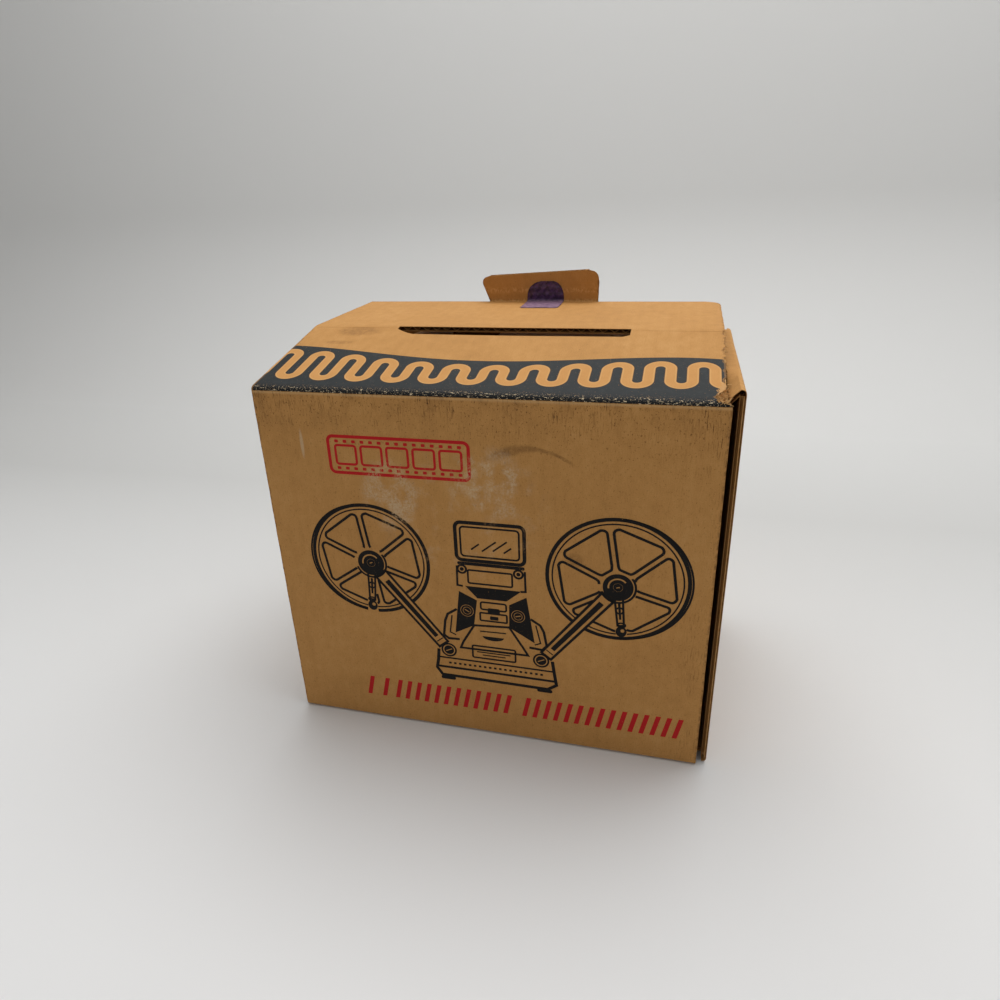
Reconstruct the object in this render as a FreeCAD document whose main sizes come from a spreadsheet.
"""A corrugated carton with a hand slot in its lid: one creased blank of B-flute board.

Millimetres, +Z up, front towards -Y.  The origin is the middle of the base, on the floor.
Every panel is made of its three plies: an outer liner, a fluted medium and an inner liner.
"""
import FreeCAD, Part
import math
import os
import re

from FreeCAD import Placement, Rotation, Vector

# ---------------------------------------------------------------- driving dimensions (mm)
DIMENSIONS = {
    # the board
    "liner": 0.3,                  # thickness of each facing
    "board": 3.0,                  # thickness of the whole board
    "medium": 0.2,                 # thickness of the fluted paper
    "flute_pitch": 6.3,
    "ply_gap": 0.02,               # between the flute tips and the facings
    "seam": 0.2,                   # between two panels that meet in a fixed fold
    "fold_gap": 0.3,               # between two panels that meet in a moving fold
    # the carton
    "panel_width": 250.0,          # front panel and lid
    "panel_depth": 166.0,          # front face to rear face
    "front_height": 216.4,
    "rear_rise": 4.0,              # top of the rear panel above the front fold
    "left_overhang": 1.5,          # left wall's outer face beyond the front panel's raw edge
    "right_overhang": 6.0,         # the right wall has sprung further out
    "side_setback": 4.0,           # front edge of the side walls behind the front face
    "left_hem_drop": 4.4,          # top of the left wall below the front fold
    "right_hem_rise": 6.6,         # the right wall's top has crept above the front fold
    "flap_drop": 1.0,              # dust flap's upper face below the top of its wall
    # the lid, bent along the hand slot
    "lid_front_length": 81.9,
    "lid_front_pitch": 13.7,
    "lid_rear_pitch": 1.9,
    "lid_right_wear": 2.5,         # width lost from the frayed right edge
    "crease_gap": 0.6,             # each side of the crease along the slot
    "slot_length": 140.0,
    "slot_width": 10.3,
    "slot_offset": 2.0,            # slot's middle to the right of the front panel's middle
    # the tab on the rear edge
    "tab_width": 78.0,             # at its fold
    "tab_height": 21.0,
    "tab_offset": 4.0,
    "tab_flare": 2.0,              # how far each side widens towards the top
    "tab_corner": 7.0,
    "tab_pitch": 97.0,
    "tab_clearance": 0.15,         # between the board's corners, or the tape's, in the tab's fold
    # dust flaps under the lid, and the flaps glued down on the bottom
    "left_flap_reach": 73.0,
    "right_flap_reach": 147.0,
    "left_flap_inset": 8.0,        # front edge behind the wall's front edge
    "flap_rear_inset": 4.0,
    "lid_clearance": 2.0,          # between the lid and the front edge of the right dust flap
    "bottom_flap_reach": 60.0,
    "bottom_flap_inset": 6.0,
    # the strip of tape across the tab's fold
    "tape_thickness": 0.1,
    "tape_width": 26.0,
    "tape_offset": 6.0,
    "tape_on_lid": 25.0,
    "tape_on_tab": 13.0,
}

PLIES = ("outer_liner", "flutes", "inner_liner")


def fitted(size):
    """The sizes that follow from the others, so that what lines up goes on lining up."""
    pitch = math.radians(size["lid_front_pitch"])
    reach = size["panel_depth"] - size["lid_front_length"] * math.cos(pitch)
    right_hem = size["front_height"] + size["right_hem_rise"]
    under_lid = right_hem - size["flap_drop"] + size["lid_clearance"] + size["board"] / math.cos(pitch)
    return {
        "rear_height": size["front_height"] + size["rear_rise"],
        "left_hem_height": size["front_height"] - size["left_hem_drop"],
        "right_hem_height": right_hem,
        # the lid ends above the rear face
        "lid_rear_length": reach / math.cos(math.radians(size["lid_rear_pitch"])),
        # each side of the tab's fold, whose outer corners turn in towards each other
        "tab_gap": (size["board"] / 2 + size["tape_thickness"])
        * math.tan(math.radians(size["tab_pitch"] - size["lid_rear_pitch"]) / 2) + size["tab_clearance"],
        # the right dust flap begins where the lid has risen clear of it
        "right_flap_inset": (under_lid - size["front_height"]) / math.tan(pitch) - size["side_setback"],
    }


doc = FreeCAD.newDocument("carton")
sheet = doc.addObject("Spreadsheet::Sheet", "dims")
for row, (alias, value) in enumerate({**DIMENSIONS, **fitted(DIMENSIONS)}.items(), start=1):
    sheet.set(f"A{row}", alias)
    sheet.set(f"B{row}", str(value))
    sheet.setAlias(f"B{row}", alias)
doc.recompute()

parts = {}


def bound(expression):
    """The expression with every dimension's name pointing at the sheet."""
    return re.sub(r"[a-z_]+", lambda word: "dims." + word.group(0), expression)


def mm(expression):
    """The present value of an expression of dimensions."""
    return float(sheet.evalExpression(bound(expression)))


def lying(origin, across, along):
    """Placement of a panel: u runs across it, v along its flutes, w out of its outer face."""
    return Placement(origin, Rotation(across, along, across.cross(along), "ZXY"))


def pitched(degrees):
    """Direction of a panel that runs back and up at this angle from the floor."""
    angle = math.radians(degrees)
    return Vector(0, math.cos(angle), math.sin(angle))


def box(name, sizes, corner, placement=None):
    """A block whose three sizes are expressions, with its corner at (u, v, w)."""
    block = doc.addObject("Part::Box", name)
    for side, expression in zip(("Length", "Width", "Height"), sizes):
        block.setExpression(side, bound(expression))
    block.Placement = Placement(Vector(*corner), Rotation())
    if placement:
        block.Placement = placement.multiply(block.Placement)
    return block


def wave_face(width):
    """Section of the fluted medium in (u, w): arcs that bend up and down in turn."""
    half = mm("flute_pitch") / 2
    thick = mm("medium")
    rise = mm("board / 2 - liner - ply_gap") - thick / 2
    radius = ((half / 2) ** 2 + rise ** 2) / (2 * rise)
    lean = math.asin(half / 2 / radius)
    bends = int((width - thick) / half)
    start = (width - bends * half) / 2
    middle = -mm("board") / 2
    faces = {1: [], -1: []}
    for side, edges in faces.items():
        for bend in range(bends):
            up = 1 if bend % 2 == 0 else -1
            centre = Vector(start + (bend + 0.5) * half, 0, middle + up * (rise - radius))
            reach = radius + side * up * thick / 2

            def at(angle):
                return centre + Vector(math.sin(angle), 0, up * math.cos(angle)) * reach

            edges.append(Part.Arc(at(-lean), at(0), at(lean)).toShape())
    first = [edges[0].Vertexes[0].Point for edges in faces.values()]
    last = [edges[-1].Vertexes[-1].Point for edges in faces.values()]
    caps = [Part.LineSegment(*ends).toShape() for ends in (first, last)]
    return Part.Face(Part.Wire(Part.__sortEdges__(faces[1] + faces[-1] + caps)))


def finish(piece, label):
    """Give a finished sub-part the label that names its node."""
    piece.Label = label
    parts[label] = piece


def panel(name, width, length, placement, slot=None, outline=None):
    """The three plies of one panel; width and length are expressions.

    slot is a cutter taken out of every ply, outline a prism that every ply is trimmed to.
    """
    facing = (width, length, "liner")
    plies = {
        "outer_liner": box(name + "_facing_out", facing, (0, 0, -mm("liner")), placement),
        "inner_liner": box(name + "_facing_in", facing, (0, 0, -mm("board")), placement),
    }
    wave = doc.addObject("Part::Feature", name + "_wave")
    wave.Shape = wave_face(mm(width)).extrude(Vector(0, mm(length), 0))
    wave.Placement = placement
    plies["flutes"] = wave
    for ply in PLIES:
        piece = plies[ply]
        if slot:
            cut = doc.addObject("Part::Cut", f"{name}_{ply}_cut")
            cut.Base, cut.Tool = piece, slot
            piece = cut
        if outline:
            trim = doc.addObject("Part::Common", f"{name}_{ply}_trim")
            trim.Base, trim.Tool = piece, outline
            piece = trim
        finish(piece, f"{name}_{ply}")


X, Y, Z = Vector(1, 0, 0), Vector(0, 1, 0), Vector(0, 0, 1)
left = -mm("panel_width") / 2
right = mm("panel_width") / 2
front = -mm("panel_depth") / 2
rear = mm("panel_depth") / 2
left_outside = left - mm("left_overhang")
right_outside = right + mm("right_overhang")
left_inside = left_outside + mm("board")
right_inside = right_outside - mm("board")
wall_front = front + mm("side_setback")
wall_rear = rear - mm("board + seam")

# ---------------------------------------------------------------- the tray that stays put
panel("rear_panel", "panel_width + left_overhang + right_overhang", "rear_height",
      lying(Vector(right_outside, rear, 0), -X, Z))
panel("bottom_panel", "panel_width + left_overhang - board - seam",
      "panel_depth - 2 * board - seam - fold_gap",
      lying(Vector(left_inside + mm("seam"), wall_rear, 0), X, -Y))
wall_depth = "panel_depth - side_setback - board - seam"
panel("left_wall", wall_depth, "left_hem_height",
      lying(Vector(left_outside, wall_rear, 0), -Y, Z))
panel("right_wall", wall_depth, "right_hem_height",
      lying(Vector(right_outside, wall_front, 0), Y, Z))

flap_depth = "panel_depth - 2 * board - 2 * bottom_flap_inset"
flap_front = front + mm("board + bottom_flap_inset")
flap_rear = rear - mm("board + bottom_flap_inset")
panel("left_bottom_flap", flap_depth, "bottom_flap_reach",
      lying(Vector(left_inside + mm("seam"), flap_front, mm("board")), Y, X))
panel("right_bottom_flap", flap_depth, "bottom_flap_reach",
      lying(Vector(right_inside - mm("seam"), flap_rear, mm("board")), -Y, -X))

# ---------------------------------------------------------------- front panel and lid
panel("front_panel", "panel_width", "front_height - board - fold_gap",
      lying(Vector(left, front, 0), X, Z))

lid_width = "panel_width - lid_right_wear"
front_way = pitched(mm("lid_front_pitch"))
front_up = X.cross(front_way)
lid_edge = Vector(left, front, mm("front_height"))
half_board = mm("board") / 2
crease = lid_edge + front_way * mm("lid_front_length") - front_up * half_board

slot_frame = lying(lid_edge, X, front_way)
slot_start = mm("lid_front_length - crease_gap - slot_width")
slot_left = right + mm("slot_offset - slot_length / 2")
slot = box("hand_slot", ("slot_length", "slot_width + crease_gap", "3 * board"),
           (slot_left, slot_start, -2 * mm("board")), slot_frame)
panel("lid_front", lid_width, "lid_front_length - crease_gap", slot_frame, slot=slot)

rear_way = pitched(mm("lid_rear_pitch"))
rear_up = X.cross(rear_way)
rear_origin = crease + rear_up * half_board + rear_way * mm("crease_gap")
panel("lid_rear", lid_width, "lid_rear_length - crease_gap", lying(rear_origin, X, rear_way))

# ---------------------------------------------------------------- tab on the lid's rear edge
tab_fold = crease + rear_way * mm("lid_rear_length + tab_gap")
tab_way = pitched(mm("tab_pitch"))
tab_up = X.cross(tab_way)
tab_left = right + mm("tab_offset - tab_width / 2 - tab_flare")
tab_frame = lying(tab_fold + tab_up * half_board + X * tab_left, X, tab_way)


def tab_outline():
    """Prism of the tab: it flares towards the top and both top corners are rounded."""
    wide = mm("tab_width + 2 * tab_flare")
    low, high = mm("tab_gap"), mm("tab_gap + tab_height")
    flare = mm("tab_flare")
    corners = [(flare, low), (wide - flare, low), (wide, high), (0, high)]
    ring = Part.makePolygon([Vector(u, v, -2 * mm("board")) for u, v in corners + corners[:1]])
    prism = Part.Face(ring).extrude(Vector(0, 0, 3 * mm("board")))
    upright = [edge for edge in prism.Edges
               if abs(edge.Vertexes[0].Y - high) < 1e-6 and abs(edge.Vertexes[1].Y - high) < 1e-6
               and abs(edge.Vertexes[0].X - edge.Vertexes[1].X) < 1e-6]
    shape = doc.addObject("Part::Feature", "tab_outline")
    shape.Shape = prism.makeFillet(mm("tab_corner"), upright)
    shape.Placement = tab_frame
    return shape


panel("tab", "tab_width + 2 * tab_flare", "tab_gap + tab_height", tab_frame, outline=tab_outline())

# ---------------------------------------------------------------- dust flaps under the lid
flap_span = "panel_depth - side_setback - board - seam - flap_rear_inset"
left_flap_edge = Vector(left_inside + mm("fold_gap"), wall_rear - mm("flap_rear_inset"),
                        mm("left_hem_height - flap_drop"))
panel("left_dust_flap", flap_span + " - left_flap_inset", "left_flap_reach",
      lying(left_flap_edge, -Y, X))
right_flap_edge = Vector(right_inside - mm("fold_gap"), wall_front + mm("right_flap_inset"),
                         mm("right_hem_height - flap_drop"))
panel("right_dust_flap", flap_span + " - right_flap_inset", "right_flap_reach",
      lying(right_flap_edge, Y, -X))

# ---------------------------------------------------------------- tape across the tab's fold
tape_left = right + mm("tape_offset - tape_width / 2")
tape_start = mm("lid_rear_length - crease_gap - tape_on_lid")
finish(box("tape_patch_low", ("tape_width", "tape_on_lid", "tape_thickness"),
           (tape_left, tape_start, 0), lying(rear_origin, X, rear_way)), "tape_on_lid")
finish(box("tape_patch_high", ("tape_width", "tape_on_tab", "tape_thickness"),
           (tape_left - tab_left, mm("tab_gap"), 0), tab_frame), "tape_on_tab")

# ---------------------------------------------------------------- check and write
doc.recompute()
for thing in doc.Objects:
    if {"Invalid", "Error"} & set(thing.State):
        raise RuntimeError(f"{thing.Label} failed: {thing.State}")
os.makedirs("parts", exist_ok=True)
for label, piece in parts.items():
    shape = piece.Shape
    if shape.isNull() or not shape.isValid() or shape.Volume <= 0:
        raise RuntimeError(f"{label} has no valid solid")
    shape.exportStep(f"parts/{label}.step")
print(len(parts), "sub-parts written")

# a point on each fold's axis, in metres
board_down = Vector(0, 0, -mm("board"))
folds = {
    "front": Vector(0, front, 0),
    "lid": lid_edge,
    "crease": crease,
    "tab": tab_fold,
    "left flap": left_flap_edge + board_down,
    "right flap": right_flap_edge + board_down,
}
for name, point in folds.items():
    print(name, "fold", [round(value / 1000, 6) for value in point])
